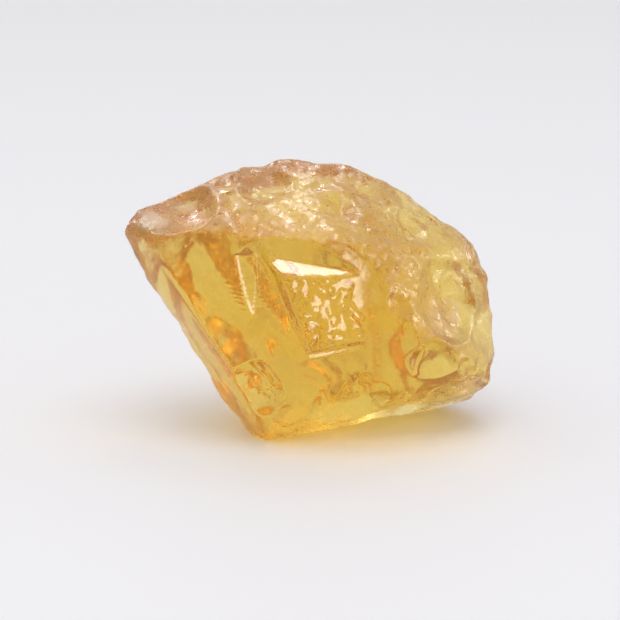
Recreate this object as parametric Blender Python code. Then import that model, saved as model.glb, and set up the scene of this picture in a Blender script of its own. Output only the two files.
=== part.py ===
# Raw amber piece: one broken and worn lump of fossil resin, resting on its flattest break.
# Metres, +Z up. -Y is the side with the large clear break. The origin is the middle of the underside.

import random

import bmesh
import bpy
import numpy as np
from mathutils import Vector, noise

# Driving dimensions, in metres
WIDTH = 0.0280
DEPTH = 0.0182
HEIGHT = 0.0196

# The shape is drawn in millimetres, with the floor at z = 0, and then sized to the driving
# dimensions. Every point of the surface is seen from the core: it is found along a ray from there.
CORE = np.array((0.6, 0.4, 9.6))
GIRTH = Vector((14.0, 9.5, 9.8))
MESH_CUTS = 21
FARTHEST = 20.0
GRAZING = 0.02
TINY = 1e-9
EDGE_WEAR = 0.16
RIM_WEAR = 0.09
EDGE_PULL = 0.45
EDGE_PROBE = 0.001
EDGE_STEPS = 3
EVENING_STEPS = 8
CALMING_STEPS = 6
CALMING_PULL = 0.7
LONG_EDGE = 0.8
ON_FLOOR = 0.001
LEVEL_WITHIN = 0.02

# Corners of the lump where its breaks meet, before wear
UNDERSIDE = [
    (-4.8, -3.9, -0.15), (-3.4, -5.9, -0.15), (2.9, -2.1, -0.15), (10.2, 3.0, -0.15),
    (8.7, 5.4, -0.15), (1.0, 4.6, -0.15), (-4.7, 2.6, -0.15),
]
LEFT_TIP = [(-14.9, 0.6, 15.9), (-13.0, -0.9, 12.0), (-12.1, 1.3, 16.5), (-11.4, 3.6, 10.5)]
RIGHT_END = [
    (12.9, 0.9, 1.5), (14.2, -1.5, 3.9), (14.3, -1.1, 5.6), (13.9, 0.6, 9.6),
    (13.4, 1.3, 12.5), (11.7, 2.2, 14.0),
]
CREST = [(9.3, 2.7, 16.0), (3.9, 3.5, 18.9), (0.0, 3.2, 19.9), (-4.0, 2.7, 19.8), (-7.3, 2.3, 18.2)]
CLEAR_BREAK = [
    (-11.7, -3.4, 14.4), (-9.6, -3.6, 16.1), (-3.4, -6.1, 15.9), (1.4, -6.6, 15.9),
    (4.6, -6.3, 15.2), (7.3, -7.4, 10.4), (8.4, -7.5, 8.4), (12.1, -5.0, 5.3),
    (10.1, -3.5, 2.5), (3.0, -5.9, 1.8), (-1.6, -7.4, 1.8), (-5.1, -7.5, 4.8), (-8.8, -5.9, 10.1),
    (0.0, -9.0, 7.6), (3.6, -8.6, 8.9),
]
BACK = [
    (-9.5, 5.5, 14.0), (-6.8, 6.6, 7.6), (11.6, 7.0, 6.6), (10.6, 8.0, 10.9),
    (3.5, 10.0, 11.0), (-3.0, 9.6, 10.4), (-2.0, 8.1, 16.2), (5.2, 7.8, 16.0),
]
CORNERS = UNDERSIDE + LEFT_TIP + RIGHT_END + CREST + CLEAR_BREAK + BACK

# Shell-shaped flakes knocked off: a point that each one faces, its radius and its depth
FRONT_FLAKES = [
    ((-3.4, -7.6, 5.6), 5.0, 0.55), ((3.0, -6.8, 4.05), 7.0, 0.7), ((8.4, -6.9, 6.4), 3.0, 0.6),
    ((5.5, -2.5, 0.6), 4.0, 0.9),
]
RIGHT_FLAKES = [
    ((13.6, 0.0, 7.4), 3.0, 0.30), ((9.0, -4.2, 11.6), 7.0, 0.55), ((11.0, 5.5, 9.0), 6.0, 0.4),
]
TOP_FLAKES = [
    ((-8.0, -1.5, 17.6), 5.0, 0.5), ((-2.6, -1.2, 18.6), 4.0, 0.35), ((2.6, -2.4, 17.8), 4.5, 0.35),
    ((6.6, -1.4, 16.2), 4.0, 0.4), ((0.5, 6.0, 18.0), 6.0, 0.5),
]
BACK_FLAKES = [
    ((0.0, 9.8, 10.5), 12.0, 0.9), ((7.5, 8.0, 12.5), 7.0, 0.7), ((-6.5, 7.0, 12.5), 6.5, 0.6),
    ((6.0, 6.6, 4.5), 7.0, 0.7), ((-4.0, 5.6, 4.6), 6.0, 0.6), ((-9.5, 2.5, 9.0), 8.0, 0.6),
]
FLAKES = FRONT_FLAKES + RIGHT_FLAKES + TOP_FLAKES + BACK_FLAKES

# Two splinters are gone from the clear break. They leave a raised four-sided patch between them.
SPLINTERS = [
    [
        (-2.8, -5.64, 14.29), (5.6, -7.51, 13.13), (-3.8, -7.83, 12.38), (5.6, -9.92, 11.08),
        (-3.8, -5.90, 17.66), (5.6, -7.99, 16.36),
    ],
    [
        (-3.9, -5.15, 14.57), (-0.2, -8.62, 7.42), (-3.1, -7.20, 17.00), (1.2, -10.19, 8.53),
        (-9.3, -6.60, 14.20), (-4.6, -9.14, 5.49),
    ],
]

# Long notches split out of the far side: from where to where, then how wide each is on its left and
# on its right, and how deep
NOTCHES = [
    ((-6.0, 8.1, 9.4), (-4.0, 8.4, 5.7), 4.1, 1.95, 1.85),
    ((-3.0, 8.9, 9.4), (-1.0, 9.1, 5.7), 1.95, 2.6, 1.85),
    ((2.6, 9.4, 10.0), (3.4, 9.2, 6.4), 2.6, 1.9, 1.8),
    ((5.6, 9.1, 10.0), (6.4, 8.8, 6.4), 1.9, 4.0, 1.8),
]
NOTCH_OUTWARD = np.array((0.05, 0.95, -0.30))
NOTCH_TAPER = 0.6
BAR_OVERHANG = 1.5
BAR_HEIGHT = 5

# Breaks that face these ways are smooth and clear. The rest is old, pitted skin.
CLEAR_FACING = [(-0.10, -0.98, 0.12), (0.05, -0.93, -0.35), (-0.75, -0.45, -0.48)]
CLEAR_SPREAD = 0.90
SKIN_FADE = 0.45
UNDERSIDE_FADE = 1.2

LUMPS = [(5.0, 0.20), (2.4, 0.20)]
PITS = 46
PIT_RADIUS = (0.8, 1.7)
PIT_DEPTH = (0.12, 0.38)
SEED = 7

AMBER_COLOUR = (0.78, 0.47, 0.10, 1.0)
AMBER_ROUGHNESS = 0.2
AMBER_IOR = 1.54


def soft_min(values, wear):
    """The least of each row, rounded off where the least two are within about the wear."""
    least = values.min(axis=-1)
    return least - wear * np.log(np.exp((least[..., None] - values) / wear).sum(axis=-1))


def flat_faces(corners):
    """Normals of the flat faces that close round the corners, and their distances from the core."""
    bm = bmesh.new()
    for corner in corners:
        bm.verts.new(corner)
    bmesh.ops.convex_hull(bm, input=bm.verts)
    bmesh.ops.dissolve_limit(bm, angle_limit=LEVEL_WITHIN, verts=bm.verts, edges=bm.edges)
    bm.normal_update()
    normals = np.array([face.normal[:] for face in bm.faces])
    points = np.array([face.verts[0].co[:] for face in bm.faces])
    bm.free()
    return normals, ((points - CORE) * normals).sum(axis=1)


def reach_of_breaks(rays, normals, offsets):
    """How far each ray goes to each flat break that it faces."""
    facing = rays @ normals.T
    return np.where(facing > GRAZING, offsets / np.maximum(facing, GRAZING), FARTHEST)


def reach_of_flake(rays, centre, radius):
    """How far each ray goes to the near side of a ball."""
    along = rays @ centre
    inside = along ** 2 - centre @ centre + radius ** 2
    met = (inside > 0) & (along > 0)
    return np.where(met, along - np.sqrt(np.maximum(inside, 0)), FARTHEST)


def reach_of_splinter(rays, normals, offsets):
    """How far each ray goes to the near side of a solid with flat faces."""
    facing = rays @ normals.T
    crossing = offsets / np.copysign(np.maximum(np.abs(facing), TINY), facing)
    entry = np.where(facing < 0, crossing, 0).max(axis=1)
    way_out = np.where(facing > 0, crossing, FARTHEST).min(axis=1)
    return np.where(entry < way_out, entry, FARTHEST)


def toward_breaks(toward):
    """The way from the core to a point, and how far the worn breaks are that way."""
    way = np.array(toward) - CORE
    way /= np.linalg.norm(way)
    return way, soft_min(reach_of_breaks(way[None], *BREAKS), EDGE_WEAR)[0]


def notch_corners(start, end, left, right, depth):
    """Corners of a long three-sided bar, deeper at its start, that sticks out past the notch."""
    start, end = [CORE + way * reach for way, reach in (toward_breaks(start), toward_breaks(end))]
    side = np.cross(end - start, NOTCH_OUTWARD)
    side /= np.linalg.norm(side)
    bottom_start = start - NOTCH_OUTWARD * depth
    bottom_end = end - NOTCH_OUTWARD * depth * NOTCH_TAPER
    past = (bottom_end - bottom_start) * BAR_OVERHANG
    corners = []
    for bottom in (bottom_start - past, bottom_end + past):
        corners.append(bottom)
        for across in (-left, right):
            corners.append(bottom + (NOTCH_OUTWARD * depth + side * across) * BAR_HEIGHT)
    return corners


BREAKS = flat_faces(CORNERS)
BARS = [flat_faces(corners) for corners in SPLINTERS + [notch_corners(*notch) for notch in NOTCHES]]


def reaches_of_cuts(rays):
    """How far each ray goes to each flake, to the splinters and notches, and to the floor."""
    cuts = []
    for toward, radius, depth in FLAKES:
        way, reach = toward_breaks(toward)
        cuts.append(reach_of_flake(rays, way * (reach + radius - depth), radius))
    cuts += [reach_of_splinter(rays, *faces) for faces in BARS]
    down = -rays[:, 2]
    cuts.append(np.where(down > GRAZING, CORE[2] / np.maximum(down, GRAZING), FARTHEST))
    return np.stack(cuts, axis=1)


def all_reaches(rays):
    return np.hstack([reach_of_breaks(rays, *BREAKS), reaches_of_cuts(rays)])


def evened(rays, edges):
    """The rays, spread so that the mesh is even over the surface, on its steep walls too."""
    here, there = np.vstack([edges, edges[:, ::-1]]).T
    count = np.bincount(here)
    for _ in range(EVENING_STEPS):
        points = rays * all_reaches(rays).min(axis=1)[:, None]
        rays = np.stack([np.bincount(here, points[there, axis]) / count for axis in range(3)], axis=1)
        rays /= np.linalg.norm(rays, axis=1)[:, None]
    return rays


def turned_to_edges(rays, edges):
    """The rays, turned onto an edge where one is near, so that the mesh follows the edges."""
    room = np.full(len(rays), FARTHEST)
    lengths = np.linalg.norm(rays[edges[:, 0]] - rays[edges[:, 1]], axis=1)
    for ends in edges.T:
        np.minimum.at(room, ends, lengths)
    sideways = np.cross(rays, (0.0, 0.0, 1.0))
    sideways /= np.linalg.norm(sideways, axis=1)[:, None] + TINY
    ways = (sideways, np.cross(rays, sideways))
    least = np.argpartition(all_reaches(rays), 1, axis=1)[:, :2]

    def gap(tried):
        pair = np.take_along_axis(all_reaches(tried), least, axis=1)
        return pair[:, 1] - pair[:, 0]

    turned = rays.copy()
    for _ in range(EDGE_STEPS):
        here = gap(turned)
        slopes = [(gap(turned + EDGE_PROBE * way) - here) / EDGE_PROBE for way in ways]
        steepness = slopes[0] ** 2 + slopes[1] ** 2 + TINY
        step = [-here * slope / steepness for slope in slopes]
        turned = turned + step[0][:, None] * ways[0] + step[1][:, None] * ways[1]
    turned /= np.linalg.norm(turned, axis=1)[:, None]
    near = np.linalg.norm(turned - rays, axis=1) < EDGE_PULL * room
    return np.where(near[:, None], turned, rays)


def carved_reach(rays):
    """How far each ray goes to the broken and worn surface, and how much of it is old skin."""
    normals, offsets = BREAKS
    to_breaks = reach_of_breaks(rays, normals, offsets)
    worn = soft_min(to_breaks, EDGE_WEAR)
    cuts = reaches_of_cuts(rays)[:, :-1]
    reach = soft_min(np.hstack([worn[:, None], cuts]), RIM_WEAR)

    ways = np.array(CLEAR_FACING)
    ways /= np.linalg.norm(ways, axis=1)[:, None]
    clear = (normals @ ways.T).max(axis=1) > CLEAR_SPREAD
    share = np.exp((worn[:, None] - to_breaks) / SKIN_FADE)
    clear_share = (share * clear).sum(axis=1) / share.sum(axis=1)
    return reach, np.clip(2 - 2 * clear_share, 0, 1)


def skin_relief(points):
    """Lumps and pits of the old skin, as heights in millimetres."""
    relief = np.zeros(len(points))
    for spacing, height in LUMPS:
        relief += height * np.array([noise.noise(Vector(point) / spacing) for point in points])
    rng = random.Random(SEED)
    for _ in range(PITS):
        way = Vector((rng.gauss(0, 1), rng.gauss(0, 1), rng.gauss(0, 1))).normalized()
        radius = rng.uniform(*PIT_RADIUS)
        depth = rng.uniform(*PIT_DEPTH)
        nearest = points[((points - CORE) @ np.array(way)).argmax()]
        away = np.linalg.norm(points - nearest, axis=1) / radius
        relief -= depth * np.clip(1 - away ** 2, 0, 1) ** 2
    return relief


def calmed(points, edges):
    """The points, drawn towards their neighbours on steep walls, so that the walls come out smooth."""
    raised = points[:, 2] > ON_FLOOR
    here, there = np.vstack([edges, edges[:, ::-1]]).T
    count = np.bincount(here)[:, None]
    for _ in range(CALMING_STEPS):
        lengths = np.linalg.norm(points[here] - points[there], axis=1)
        reached = np.zeros(len(points))
        np.maximum.at(reached, here, lengths)
        pull = CALMING_PULL * (raised * np.clip(reached / LONG_EDGE - 1, 0, 1))[:, None]
        middle = np.stack([np.bincount(here, points[there, axis]) for axis in range(3)], axis=1) / count
        points = points + pull * (middle - points)
    return points


def sized(points):
    """The points in metres, centred over the origin and sized to the driving dimensions."""
    low, high = points.min(axis=0), points.max(axis=0)
    middle = np.array(((low[0] + high[0]) / 2, (low[1] + high[1]) / 2, 0.0))
    return (points - middle) * (np.array((WIDTH, DEPTH, HEIGHT)) / (high - low))


def amber_material():
    material = bpy.data.materials.new("amber")
    material.use_nodes = True
    shader = material.node_tree.nodes["Principled BSDF"]
    shader.inputs["Base Color"].default_value = AMBER_COLOUR
    shader.inputs["Roughness"].default_value = AMBER_ROUGHNESS
    shader.inputs["Metallic"].default_value = 0.0
    shader.inputs["IOR"].default_value = AMBER_IOR
    shader.inputs["Transmission Weight"].default_value = 1.0
    return material


def amber_piece():
    bm = bmesh.new()
    bmesh.ops.create_icosphere(bm, subdivisions=1, radius=1.0)
    bmesh.ops.subdivide_edges(bm, edges=bm.edges, cuts=MESH_CUTS, use_grid_fill=True)
    bm.verts.index_update()
    for vert in bm.verts:
        vert.co = (vert.co.normalized() * GIRTH).normalized()
    rays = np.array([vert.co[:] for vert in bm.verts])
    edges = np.array([[vert.index for vert in edge.verts] for edge in bm.edges])
    rays = turned_to_edges(evened(rays, edges), edges)

    reach, skin = carved_reach(rays)
    points = CORE + rays * reach[:, None]
    skin *= np.clip(points[:, 2] / UNDERSIDE_FADE, 0, 1)
    reach += skin * skin_relief(points)
    reach = np.minimum(reach, reaches_of_cuts(rays)[:, -1])

    for vert, point in zip(bm.verts, sized(calmed(CORE + rays * reach[:, None], edges))):
        vert.co = point
    mesh = bpy.data.meshes.new("amber_piece")
    bm.to_mesh(mesh)
    bm.free()
    mesh.shade_smooth()
    mesh.materials.append(amber_material())
    piece = bpy.data.objects.new("amber_piece", mesh)
    bpy.context.scene.collection.objects.link(piece)
    return piece


def main():
    for old in list(bpy.data.objects):
        bpy.data.objects.remove(old)
    amber_piece()


main()
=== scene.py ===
# Raw amber piece: a clear golden lump with flat breaks and a frosted, pitted skin.
# The lump is drawn in millimetres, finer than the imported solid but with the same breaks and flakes.
import math
import random

import bmesh
import bpy
import numpy as np
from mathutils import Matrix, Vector, noise


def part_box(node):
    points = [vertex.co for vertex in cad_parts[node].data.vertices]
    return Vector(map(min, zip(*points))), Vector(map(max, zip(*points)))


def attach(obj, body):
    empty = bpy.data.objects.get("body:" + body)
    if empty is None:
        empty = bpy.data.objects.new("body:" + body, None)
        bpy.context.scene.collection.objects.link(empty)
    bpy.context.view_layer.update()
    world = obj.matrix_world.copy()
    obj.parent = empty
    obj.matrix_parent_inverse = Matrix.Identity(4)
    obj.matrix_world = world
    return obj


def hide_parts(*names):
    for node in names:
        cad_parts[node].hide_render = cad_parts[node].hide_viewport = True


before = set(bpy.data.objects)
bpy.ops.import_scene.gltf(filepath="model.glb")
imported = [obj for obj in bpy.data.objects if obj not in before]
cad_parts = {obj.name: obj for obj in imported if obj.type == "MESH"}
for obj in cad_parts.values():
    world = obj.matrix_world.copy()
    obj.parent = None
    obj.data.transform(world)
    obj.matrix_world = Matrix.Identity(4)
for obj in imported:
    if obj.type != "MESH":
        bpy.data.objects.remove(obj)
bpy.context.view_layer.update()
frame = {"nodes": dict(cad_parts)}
print("frame loaded:", ", ".join(frame["nodes"]))


# what the lump is cut from: corners where its breaks meet, then what has gone from it
amberShape = {
    "core": (0.6, 0.4, 9.6),             # every point of the surface is seen from here
    "girth": (14.0, 9.5, 9.8),
    "fineness": 96,                      # cuts across each of the 20 starting triangles
    "edgeWear": 0.16,
    "rimWear": 0.07,
    "underside": [
        (-4.8, -3.9, -0.15), (-3.4, -5.9, -0.15), (2.9, -2.1, -0.15), (10.2, 3.0, -0.15),
        (8.7, 5.4, -0.15), (1.0, 4.6, -0.15), (-4.7, 2.6, -0.15),
    ],
    "leftTip": [(-14.9, 0.6, 15.9), (-13.0, -0.9, 12.0), (-12.1, 1.3, 16.5), (-11.4, 3.6, 10.5)],
    "rightEnd": [
        (12.9, 0.9, 1.5), (14.2, -1.5, 3.9), (14.3, -1.1, 5.6), (13.9, 0.6, 9.6),
        (13.4, 1.3, 12.5), (11.7, 2.2, 14.0),
    ],
    "crest": [(9.3, 2.7, 16.0), (3.9, 3.5, 18.9), (0.0, 3.2, 19.9), (-4.0, 2.7, 19.8), (-7.3, 2.3, 18.2)],
    "clearBreak": [
        (-11.7, -3.4, 14.4), (-9.6, -3.6, 16.1), (-3.4, -6.1, 15.9), (1.4, -6.6, 15.9),
        (4.6, -6.3, 15.2), (7.3, -7.4, 10.4), (8.4, -7.5, 8.4), (12.1, -5.0, 5.3),
        (10.1, -3.5, 2.5), (3.0, -5.9, 1.8), (-1.6, -7.4, 1.8), (-5.1, -7.5, 4.8), (-8.8, -5.9, 10.1),
        (0.0, -9.0, 7.6), (3.6, -8.6, 8.9),
    ],
    "back": [
        (-9.5, 5.5, 14.0), (-6.8, 6.6, 7.6), (11.6, 7.0, 6.6), (10.6, 8.0, 10.9),
        (3.5, 10.0, 11.0), (-3.0, 9.6, 10.4), (-2.0, 8.1, 16.2), (5.2, 7.8, 16.0),
    ],
    # a point that each flake faces, its radius and its depth
    "frontFlakes": [
        ((-3.4, -7.6, 5.6), 5.0, 0.55), ((3.0, -6.8, 4.05), 7.0, 0.7), ((8.4, -6.9, 6.4), 3.0, 0.6),
        ((5.5, -2.5, 0.6), 4.0, 0.9),
    ],
    "rightFlakes": [
        ((13.6, 0.0, 7.4), 3.0, 0.30), ((9.0, -4.2, 11.6), 7.0, 0.55), ((11.0, 5.5, 9.0), 6.0, 0.4),
    ],
    "topFlakes": [
        ((-8.0, -1.5, 17.6), 5.0, 0.5), ((-2.6, -1.2, 18.6), 4.0, 0.35), ((2.6, -2.4, 17.8), 4.5, 0.35),
        ((6.6, -1.4, 16.2), 4.0, 0.4), ((0.5, 6.0, 18.0), 6.0, 0.5),
    ],
    "backFlakes": [
        ((0.0, 9.8, 10.5), 12.0, 0.9), ((7.5, 8.0, 12.5), 7.0, 0.7), ((-6.5, 7.0, 12.5), 6.5, 0.6),
        ((6.0, 6.6, 4.5), 7.0, 0.7), ((-4.0, 5.6, 4.6), 6.0, 0.6), ((-9.5, 2.5, 9.0), 8.0, 0.6),
    ],
    # waves that make the flakes' rims uneven: which way and how fast they run, and their height
    "flakeWaver": [((17, 3, 9), 0.09), ((-8, 5, 21), 0.08), ((29, 13, -12), 0.05)],
    # two splinters came away from the clear break and left a raised four-sided patch between them
    "splinters": [
        [
            (-2.8, -5.64, 14.29), (5.6, -7.51, 13.13), (-3.8, -7.83, 12.38), (5.6, -9.92, 11.08),
            (-3.8, -5.90, 17.66), (5.6, -7.99, 16.36),
        ],
        [
            (-3.9, -5.15, 14.57), (-0.2, -8.62, 7.42), (-3.1, -7.20, 17.00), (1.2, -10.19, 8.53),
            (-9.3, -6.60, 14.20), (-4.6, -9.14, 5.49),
        ],
    ],
    # long notches split out of the far side: from where to where, then how wide to each side, and how deep
    "notches": [
        ((-6.0, 8.1, 9.4), (-4.0, 8.4, 5.7), 4.1, 1.95, 1.85),
        ((-3.0, 8.9, 9.4), (-1.0, 9.1, 5.7), 1.95, 2.6, 1.85),
        ((2.6, 9.4, 10.0), (3.4, 9.2, 6.4), 2.6, 1.9, 1.8),
        ((5.6, 9.1, 10.0), (6.4, 8.8, 6.4), 1.9, 4.0, 1.8),
    ],
    "notchOutward": (0.05, 0.95, -0.30),
    "notchTaper": 0.6,                   # how deep its far end is, against its near end
    "notchOverhang": 1.5,                # how far its cutting bar sticks out past each end
    "notchBarHeight": 5,
}

core = np.array(amberShape["core"])
farthest = 20.0
grazing = 0.02
tiny = 1e-9
levelWithin = 0.02


def softMin(values, wear):
    least = values.min(axis=-1)
    return least - wear * np.log(np.exp((least[..., None] - values) / wear).sum(axis=-1))


def flatFaces(corners):
    # the flat faces that close round the corners: normals, and distances from the core
    bm = bmesh.new()
    for corner in corners:
        bm.verts.new(corner)
    bmesh.ops.convex_hull(bm, input=bm.verts)
    bmesh.ops.dissolve_limit(bm, angle_limit=levelWithin, verts=bm.verts, edges=bm.edges)
    bm.normal_update()
    normals = np.array([face.normal[:] for face in bm.faces])
    points = np.array([face.verts[0].co[:] for face in bm.faces])
    bm.free()
    return normals, ((points - core) * normals).sum(axis=1)


def reachOfBreaks(rays, normals, offsets):
    facing = rays @ normals.T
    return np.where(facing > grazing, offsets / np.maximum(facing, grazing), farthest)


def reachOfFlake(rays, centre, radius):
    along = rays @ centre
    inside = along ** 2 - centre @ centre + radius ** 2
    met = (inside > 0) & (along > 0)
    return np.where(met, along - np.sqrt(np.maximum(inside, 0)), farthest)


def reachOfSplinter(rays, normals, offsets):
    facing = rays @ normals.T
    crossing = offsets / np.copysign(np.maximum(np.abs(facing), tiny), facing)
    entry = np.where(facing < 0, crossing, 0).max(axis=1)
    wayOut = np.where(facing > 0, crossing, farthest).min(axis=1)
    return np.where(entry < wayOut, entry, farthest)


cornerGroups = ("underside", "leftTip", "rightEnd", "crest", "clearBreak", "back")
breaks = flatFaces([corner for group in cornerGroups for corner in amberShape[group]])


def towardBreaks(toward):
    # the way from the core to a point, and how far the worn breaks are that way
    way = np.array(toward) - core
    way /= np.linalg.norm(way)
    return way, softMin(reachOfBreaks(way[None], *breaks), amberShape["edgeWear"])[0]


def notchCorners(start, end, left, right, depth):
    # a long three-sided bar, deeper at its start, that sticks out past both ends of the notch
    start, end = [core + way * reach for way, reach in (towardBreaks(start), towardBreaks(end))]
    out = np.array(amberShape["notchOutward"])
    side = np.cross(end - start, out)
    side /= np.linalg.norm(side)
    bottomStart = start - out * depth
    bottomEnd = end - out * depth * amberShape["notchTaper"]
    past = (bottomEnd - bottomStart) * amberShape["notchOverhang"]
    corners = []
    for bottom in (bottomStart - past, bottomEnd + past):
        corners.append(bottom)
        for across in (-left, right):
            corners.append(bottom + (out * depth + side * across) * amberShape["notchBarHeight"])
    return corners


barCorners = amberShape["splinters"] + [notchCorners(*notch) for notch in amberShape["notches"]]
bars = [flatFaces(corners) for corners in barCorners]
flakeGroups = ("frontFlakes", "rightFlakes", "topFlakes", "backFlakes")
flakes = [flake for group in flakeGroups for flake in amberShape[group]]


def reachesOfCuts(rays):
    # to each flake, to the splinters and notches, and last to the floor
    cuts = []
    waver = sum(height * np.sin(rays @ np.array(run)) for run, height in amberShape["flakeWaver"])
    for toward, radius, depth in flakes:
        way, reach = towardBreaks(toward)
        cuts.append(waver + reachOfFlake(rays, way * (reach + radius - depth), radius))
    cuts += [reachOfSplinter(rays, *faces) for faces in bars]
    down = -rays[:, 2]
    cuts.append(np.where(down > grazing, core[2] / np.maximum(down, grazing), farthest))
    return np.stack(cuts, axis=1)


def allReaches(rays):
    return np.hstack([reachOfBreaks(rays, *breaks), reachesOfCuts(rays)])


# how the fine mesh is laid over the lump
meshCare = {
    "eveningSteps": 8,
    "edgeProbe": 0.0005,
    "edgeSteps": 2,
    "edgePull": 0.45,                    # the most that a ray turns, against its shortest edge
    "calmingSteps": 6,
    "calmingPull": 0.7,
    "longEdge": 0.2,                     # in mm: points on longer edges are calmed
    "onFloor": 0.001,
}


def evened(rays, edges):
    # rays spread so that the mesh is even over the surface, on its steep walls too
    here, there = np.vstack([edges, edges[:, ::-1]]).T
    count = np.bincount(here)
    for _ in range(meshCare["eveningSteps"]):
        points = rays * allReaches(rays).min(axis=1)[:, None]
        rays = np.stack([np.bincount(here, points[there, axis]) / count for axis in range(3)], axis=1)
        rays /= np.linalg.norm(rays, axis=1)[:, None]
    return rays


def turnedToEdges(rays, edges):
    # rays near an edge are turned onto it, so that the mesh follows the edges
    room = np.full(len(rays), farthest)
    lengths = np.linalg.norm(rays[edges[:, 0]] - rays[edges[:, 1]], axis=1)
    for ends in edges.T:
        np.minimum.at(room, ends, lengths)
    sideways = np.cross(rays, (0.0, 0.0, 1.0))
    sideways /= np.linalg.norm(sideways, axis=1)[:, None] + tiny
    ways = (sideways, np.cross(rays, sideways))
    probe = meshCare["edgeProbe"]
    least = np.argpartition(allReaches(rays), 1, axis=1)[:, :2]

    def gap(tried):
        pair = np.take_along_axis(allReaches(tried), least, axis=1)
        return pair[:, 1] - pair[:, 0]

    turned = rays.copy()
    for _ in range(meshCare["edgeSteps"]):
        here = gap(turned)
        slopes = [(gap(turned + probe * way) - here) / probe for way in ways]
        steepness = slopes[0] ** 2 + slopes[1] ** 2 + tiny
        for slope, way in zip(slopes, ways):
            turned = turned - (here * slope / steepness)[:, None] * way
    turned /= np.linalg.norm(turned, axis=1)[:, None]
    near = np.linalg.norm(turned - rays, axis=1) < meshCare["edgePull"] * room
    return np.where(near[:, None], turned, rays)


def calmed(points, edges):
    # points on steep walls drawn towards their neighbours, so that the walls come out smooth
    raised = points[:, 2] > meshCare["onFloor"]
    here, there = np.vstack([edges, edges[:, ::-1]]).T
    count = np.bincount(here)[:, None]
    for _ in range(meshCare["calmingSteps"]):
        lengths = np.linalg.norm(points[here] - points[there], axis=1)
        reached = np.zeros(len(points))
        np.maximum.at(reached, here, lengths)
        pull = meshCare["calmingPull"] * (raised * np.clip(reached / meshCare["longEdge"] - 1, 0, 1))[:, None]
        middle = np.stack([np.bincount(here, points[there, axis]) for axis in range(3)], axis=1) / count
        points = points + pull * (middle - points)
    return points


# the old skin: where it is, and its lumps and pits
amberSkin = {
    "clearFacing": [(-0.10, -0.98, 0.12), (0.05, -0.93, -0.35), (-0.75, -0.45, -0.48)],
    "clearSpread": 0.90,
    "fade": 0.45,
    "undersideFade": 1.2,
    "lumps": [(5.0, 0.20), (2.4, 0.20)],
    "fineLumps": [(1.15, 0.10), (0.55, 0.05), (0.30, 0.022)],
    "pits": {"count": 46, "radius": (0.8, 1.7), "depth": (0.12, 0.38), "seed": 7},
    "finePits": {"count": 420, "radius": (0.30, 0.70), "depth": (0.03, 0.09), "seed": 11},
}


def pitted(points, pits):
    rng = random.Random(pits["seed"])
    relief = np.zeros(len(points))
    for _ in range(pits["count"]):
        way = Vector((rng.gauss(0, 1), rng.gauss(0, 1), rng.gauss(0, 1))).normalized()
        radius = rng.uniform(*pits["radius"])
        depth = rng.uniform(*pits["depth"])
        nearest = points[((points - core) @ np.array(way)).argmax()]
        away = np.linalg.norm(points - nearest, axis=1) / radius
        relief -= depth * np.clip(1 - away ** 2, 0, 1) ** 2
    return relief


def lumpy(points, lumps):
    relief = np.zeros(len(points))
    for spacing, height in lumps:
        relief += height * np.array([noise.noise(Vector(point) / spacing) for point in points])
    return relief


# small marks on the clear break, all in its front
clearBreakMarks = {
    "wave": (4.0, 0.035),                # spacing and height of its slow wave
    "ribs": {
        "at": (-5.2, 11.6), "spread": (1.9, 1.1), "spacing": 0.34, "height": 0.013,
        "lean": 0.12, "swayAcross": (0.07, 1.9), "swayUp": (0.09, 2.6),
    },
    "patch": {
        "at": (1.2, 10.6), "half": (2.8, 2.8), "lean": -0.35, "soft": 0.8,
        "lumps": [(0.9, 0.10), (0.42, 0.045)],
    },
    # a fine step under the patch: from and to in x and z, then how far it reaches and how deep it is
    "step": {"from": (0.1, 7.6), "to": (3.7, 8.2), "reach": 0.3, "depth": 0.2},
    # a point that each chip is at, its radius and its depth
    "chips": [
        ((-3.5, -7.6, 5.2), 0.75, 0.22), ((-2.7, -7.4, 4.4), 0.6, 0.16), ((-3.9, -7.2, 4.0), 0.5, 0.14),
        ((-2.2, -6.2, 1.1), 0.8, 0.22), ((-1.2, -5.9, 1.0), 0.55, 0.14), ((8.6, -7.1, 7.4), 0.5, 0.12),
    ],
}


def ribbed(points):
    ribs = clearBreakMarks["ribs"]
    across = points[:, 0] - ribs["at"][0]
    up = points[:, 2] - ribs["at"][1]
    within = np.exp(-(across / ribs["spread"][0]) ** 2 - (up / ribs["spread"][1]) ** 2)
    swayAcross, swayUp = ribs["swayAcross"], ribs["swayUp"]
    phase = up + ribs["lean"] * across
    phase += swayAcross[0] * np.sin(swayAcross[1] * across) + swayUp[0] * np.sin(swayUp[1] * up)
    return ribs["height"] * within * np.sin(2 * math.pi * phase / ribs["spacing"])


def mottled(points):
    patch = clearBreakMarks["patch"]
    up = points[:, 2] - patch["at"][1]
    across = points[:, 0] - patch["at"][0] - patch["lean"] * up
    within = np.clip((patch["half"][0] - np.abs(across)) / patch["soft"], 0, 1)
    within *= np.clip((patch["half"][1] - np.abs(up)) / patch["soft"], 0, 1)
    return within * lumpy(points, patch["lumps"])


def stepped(points):
    step = clearBreakMarks["step"]
    start = np.array(step["from"])
    along = np.array(step["to"]) - start
    flat = points[:, [0, 2]] - start
    share = np.clip(flat @ along / (along @ along), 0, 1)
    away = np.linalg.norm(flat - share[:, None] * along, axis=1)
    return -step["depth"] * np.clip(1 - away / step["reach"], 0, 1)


def chipped(points):
    relief = np.zeros(len(points))
    for at, radius, depth in clearBreakMarks["chips"]:
        away = np.hypot(points[:, 0] - at[0], points[:, 2] - at[2]) / radius
        relief -= depth * np.clip(1 - away ** 2, 0, 1)
    return relief


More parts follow.
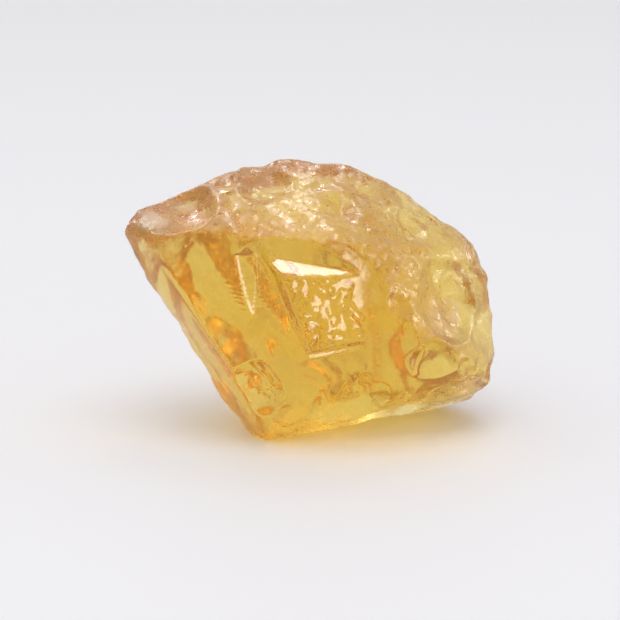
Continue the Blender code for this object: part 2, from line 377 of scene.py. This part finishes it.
def markedBreak(points):
    front = points[:, 1] < 0
    marks = ribbed(points) + mottled(points) + stepped(points) + chipped(points)
    return lumpy(points, [clearBreakMarks["wave"]]) + front * marks


def amberSurface():
    bm = bmesh.new()
    bmesh.ops.create_icosphere(bm, subdivisions=1, radius=1.0)
    bmesh.ops.subdivide_edges(bm, edges=bm.edges, cuts=amberShape["fineness"], use_grid_fill=True)
    girth = Vector(amberShape["girth"])
    bm.verts.index_update()
    for vert in bm.verts:
        vert.co = (vert.co.normalized() * girth).normalized()
    rays = np.array([vert.co[:] for vert in bm.verts])
    edges = np.array([[vert.index for vert in edge.verts] for edge in bm.edges])
    rays = turnedToEdges(evened(rays, edges), edges)

    normals, offsets = breaks
    toBreaks = reachOfBreaks(rays, normals, offsets)
    worn = softMin(toBreaks, amberShape["edgeWear"])
    cuts = reachesOfCuts(rays)
    reach = softMin(np.hstack([worn[:, None], cuts[:, :-1]]), amberShape["rimWear"])
    points = core + rays * reach[:, None]

    ways = np.array(amberSkin["clearFacing"])
    ways /= np.linalg.norm(ways, axis=1)[:, None]
    clear = (normals @ ways.T).max(axis=1) > amberSkin["clearSpread"]
    share = np.exp((worn[:, None] - toBreaks) / amberSkin["fade"])
    skin = np.clip(2 - 2 * (share * clear).sum(axis=1) / share.sum(axis=1), 0, 1)
    aboveFloor = np.clip(points[:, 2] / amberSkin["undersideFade"], 0, 1)

    relief = lumpy(points, amberSkin["lumps"]) + pitted(points, amberSkin["pits"])
    relief += lumpy(points, amberSkin["fineLumps"]) + pitted(points, amberSkin["finePits"])
    reach += skin * aboveFloor * relief + (1 - skin) * aboveFloor * markedBreak(points)
    reach = np.minimum(reach, cuts[:, -1])
    return bm, calmed(core + rays * reach[:, None], edges), skin


def fitted(points, low, high):
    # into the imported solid's own box
    least, most = points.min(axis=0), points.max(axis=0)
    return np.array(low) + (points - least) * (np.array(high) - np.array(low)) / (most - least)


def makeAmberPiece():
    bm, points, skin = amberSurface()
    for vert, point in zip(bm.verts, fitted(points, *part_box("amber_piece"))):
        vert.co = point
    mesh = bpy.data.meshes.new("amberLump")
    bm.to_mesh(mesh)
    bm.free()
    mesh.shade_smooth()
    layer = mesh.attributes.new("skin", "FLOAT", "POINT")
    layer.data.foreach_set("value", skin.astype(np.float32))
    piece = bpy.data.objects.new("amberLump", mesh)
    bpy.context.scene.collection.objects.link(piece)
    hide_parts("amber_piece")
    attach(piece, "root")
    return piece


# the resin: clear and golden inside, glossy on its breaks and frosted on its skin
amberFinish = {
    "ior": 1.54,
    "tint": (0.946, 0.818, 0.19, 1),
    "density": 245,
    "sheen": 0.20,                       # the whitish bloom of the worn edges
    "sheenRoughness": 0.35,
    "sheenTint": (1.0, 0.93, 0.88, 1),
    "breakRoughness": 0.12,
    "skinRoughness": (0.18, 0.46),
    "grainPerMm": 1.6,
    "grainDetail": 5,
    "grainRange": (0.3, 0.7),
    "sugarPerMm": 3.2,
    "sugarDetail": 4,
    "sugarDepth": 0.00004,
}


def finishAmber(piece):
    look = amberFinish
    material = bpy.data.materials.new("amberResin")
    material.use_nodes = True
    nodes = material.node_tree.nodes
    links = material.node_tree.links
    shader = nodes["Principled BSDF"]
    shader.inputs["Base Color"].default_value = (1, 1, 1, 1)
    shader.inputs["Transmission Weight"].default_value = 1.0
    shader.inputs["IOR"].default_value = look["ior"]
    shader.inputs["Sheen Weight"].default_value = look["sheen"]
    shader.inputs["Sheen Roughness"].default_value = look["sheenRoughness"]
    shader.inputs["Sheen Tint"].default_value = look["sheenTint"]

    skin = nodes.new("ShaderNodeAttribute")
    skin.attribute_name = "skin"
    place = nodes.new("ShaderNodeTexCoord")
    inMm = nodes.new("ShaderNodeMapping")
    inMm.inputs["Scale"].default_value = (1000, 1000, 1000)
    links.new(place.outputs["Object"], inMm.inputs["Vector"])

    grain = nodes.new("ShaderNodeTexNoise")
    grain.inputs["Scale"].default_value = look["grainPerMm"]
    grain.inputs["Detail"].default_value = look["grainDetail"]
    links.new(inMm.outputs["Vector"], grain.inputs["Vector"])
    frost = nodes.new("ShaderNodeMapRange")
    frost.inputs["From Min"].default_value = look["grainRange"][0]
    frost.inputs["From Max"].default_value = look["grainRange"][1]
    frost.inputs["To Min"].default_value = look["skinRoughness"][0]
    frost.inputs["To Max"].default_value = look["skinRoughness"][1]
    links.new(grain.outputs["Fac"], frost.inputs["Value"])
    roughness = nodes.new("ShaderNodeMix")
    roughness.inputs["A"].default_value = look["breakRoughness"]
    links.new(skin.outputs["Fac"], roughness.inputs["Factor"])
    links.new(frost.outputs["Result"], roughness.inputs["B"])
    links.new(roughness.outputs["Result"], shader.inputs["Roughness"])

    sugar = nodes.new("ShaderNodeTexNoise")
    sugar.inputs["Scale"].default_value = look["sugarPerMm"]
    sugar.inputs["Detail"].default_value = look["sugarDetail"]
    links.new(inMm.outputs["Vector"], sugar.inputs["Vector"])
    bump = nodes.new("ShaderNodeBump")
    bump.inputs["Distance"].default_value = look["sugarDepth"]
    links.new(skin.outputs["Fac"], bump.inputs["Strength"])
    links.new(sugar.outputs["Fac"], bump.inputs["Height"])
    links.new(bump.outputs["Normal"], shader.inputs["Normal"])

    depth = nodes.new("ShaderNodeVolumeAbsorption")
    depth.inputs["Color"].default_value = look["tint"]
    depth.inputs["Density"].default_value = look["density"]
    links.new(depth.outputs["Volume"], nodes["Material Output"].inputs["Volume"])
    piece.data.materials.append(material)


# plain pale floor, wide enough to fill the picture
floorLook = {"size": 4.0, "gap": 0.00003, "colour": (0.80, 0.805, 0.85, 1), "roughness": 0.6}


def makeFloor():
    bpy.ops.mesh.primitive_plane_add(size=floorLook["size"])
    floor = bpy.context.object
    floor.name = "floor"
    floor.location.z = -floorLook["gap"]
    material = bpy.data.materials.new("paleFloor")
    material.use_nodes = True
    shader = material.node_tree.nodes["Principled BSDF"]
    shader.inputs["Base Color"].default_value = floorLook["colour"]
    shader.inputs["Roughness"].default_value = floorLook["roughness"]
    floor.data.materials.append(material)


# soft studio light, in metres and watts, all aimed at the middle of the lump
lights = {
    "lamps": {
        "topBox": {"at": (0.02, -0.04, 0.36), "size": 0.26, "power": 0.36},
    },
    # small lamps that only show as glints
    "glints": {
        "backBox": {"at": (-0.25, 0.35, 0.25), "size": 0.12, "power": 0.12},
        "patchSpark": {"at": (0.03, -0.37, 0.16), "size": 0.13, "power": 0.38},
        "ledgeSpark": {"at": (-0.03, -0.04, 0.36), "size": 0.05, "power": 0.11},
        "crestSpark": {"at": (0.03, 0.22, 0.34), "size": 0.05, "power": 0.35},
        "leftSpark": {"at": (-0.17, 0.23, 0.29), "size": 0.05, "power": 0.35},
        "rightSpark": {"at": (0.33, 0.10, 0.18), "size": 0.04, "power": 0.2},
        "ridgeSpark": {"at": (0.38, -0.12, 0.08), "size": 0.05, "power": 0.28},
    },
    "aim": (0, 0, 0.01),
    "room": {"front": (0.76, 0.67, 0.55, 1), "back": (0.84, 0.86, 0.90, 1), "fade": (-0.7, 0.3)},
}


def lightScene():
    scene = bpy.context.scene
    for name, look in (*lights["lamps"].items(), *lights["glints"].items()):
        data = bpy.data.lights.new(name, "AREA")
        data.size = look["size"]
        data.energy = look["power"]
        lamp = bpy.data.objects.new(name, data)
        lamp.location = look["at"]
        lamp.rotation_euler = (Vector(lights["aim"]) - lamp.location).to_track_quat("-Z", "Y").to_euler()
        lamp.visible_diffuse = name in lights["lamps"]
        scene.collection.objects.link(lamp)
    room = bpy.data.worlds.new("room")
    scene.world = room
    room.use_nodes = True
    nodes = room.node_tree.nodes
    links = room.node_tree.links
    facing = nodes.new("ShaderNodeTexCoord")
    apart = nodes.new("ShaderNodeSeparateXYZ")
    fade = nodes.new("ShaderNodeMapRange")       # warmer and dimmer in front, bright behind
    fade.interpolation_type = "SMOOTHSTEP"
    fade.inputs["From Min"].default_value = lights["room"]["fade"][0]
    fade.inputs["From Max"].default_value = lights["room"]["fade"][1]
    wall = nodes.new("ShaderNodeMix")
    wall.data_type = "RGBA"
    wall.inputs["A"].default_value = lights["room"]["front"]
    wall.inputs["B"].default_value = lights["room"]["back"]
    links.new(facing.outputs["Generated"], apart.inputs["Vector"])
    links.new(apart.outputs["Y"], fade.inputs["Value"])
    links.new(fade.outputs["Result"], wall.inputs["Factor"])
    links.new(wall.outputs["Result"], nodes["Background"].inputs["Color"])
    scene.view_settings.view_transform = "Standard"


# the picture is taken a little from above, with a long lens
cameraLook = {
    "lens": 200, "elevation": 15, "distance": 0.262, "lookAt": (0, 0, 0.0085), "clip": (0.005, 10),
}


def placeCamera():
    data = bpy.data.cameras.new("camera")
    data.lens = cameraLook["lens"]
    data.clip_start, data.clip_end = cameraLook["clip"]
    camera = bpy.data.objects.new("camera", data)
    rise = math.radians(cameraLook["elevation"])
    target = Vector(cameraLook["lookAt"])
    camera.location = target + Vector((0, -math.cos(rise), math.sin(rise))) * cameraLook["distance"]
    camera.rotation_euler = (target - camera.location).to_track_quat("-Z", "Y").to_euler()
    bpy.context.scene.collection.objects.link(camera)
    bpy.context.scene.camera = camera


piece = makeAmberPiece()
print("lump carved:", len(piece.data.polygons), "triangles")
finishAmber(piece)
print("resin finished")
makeFloor()
lightScene()
placeCamera()
print("floor, lights and camera placed")
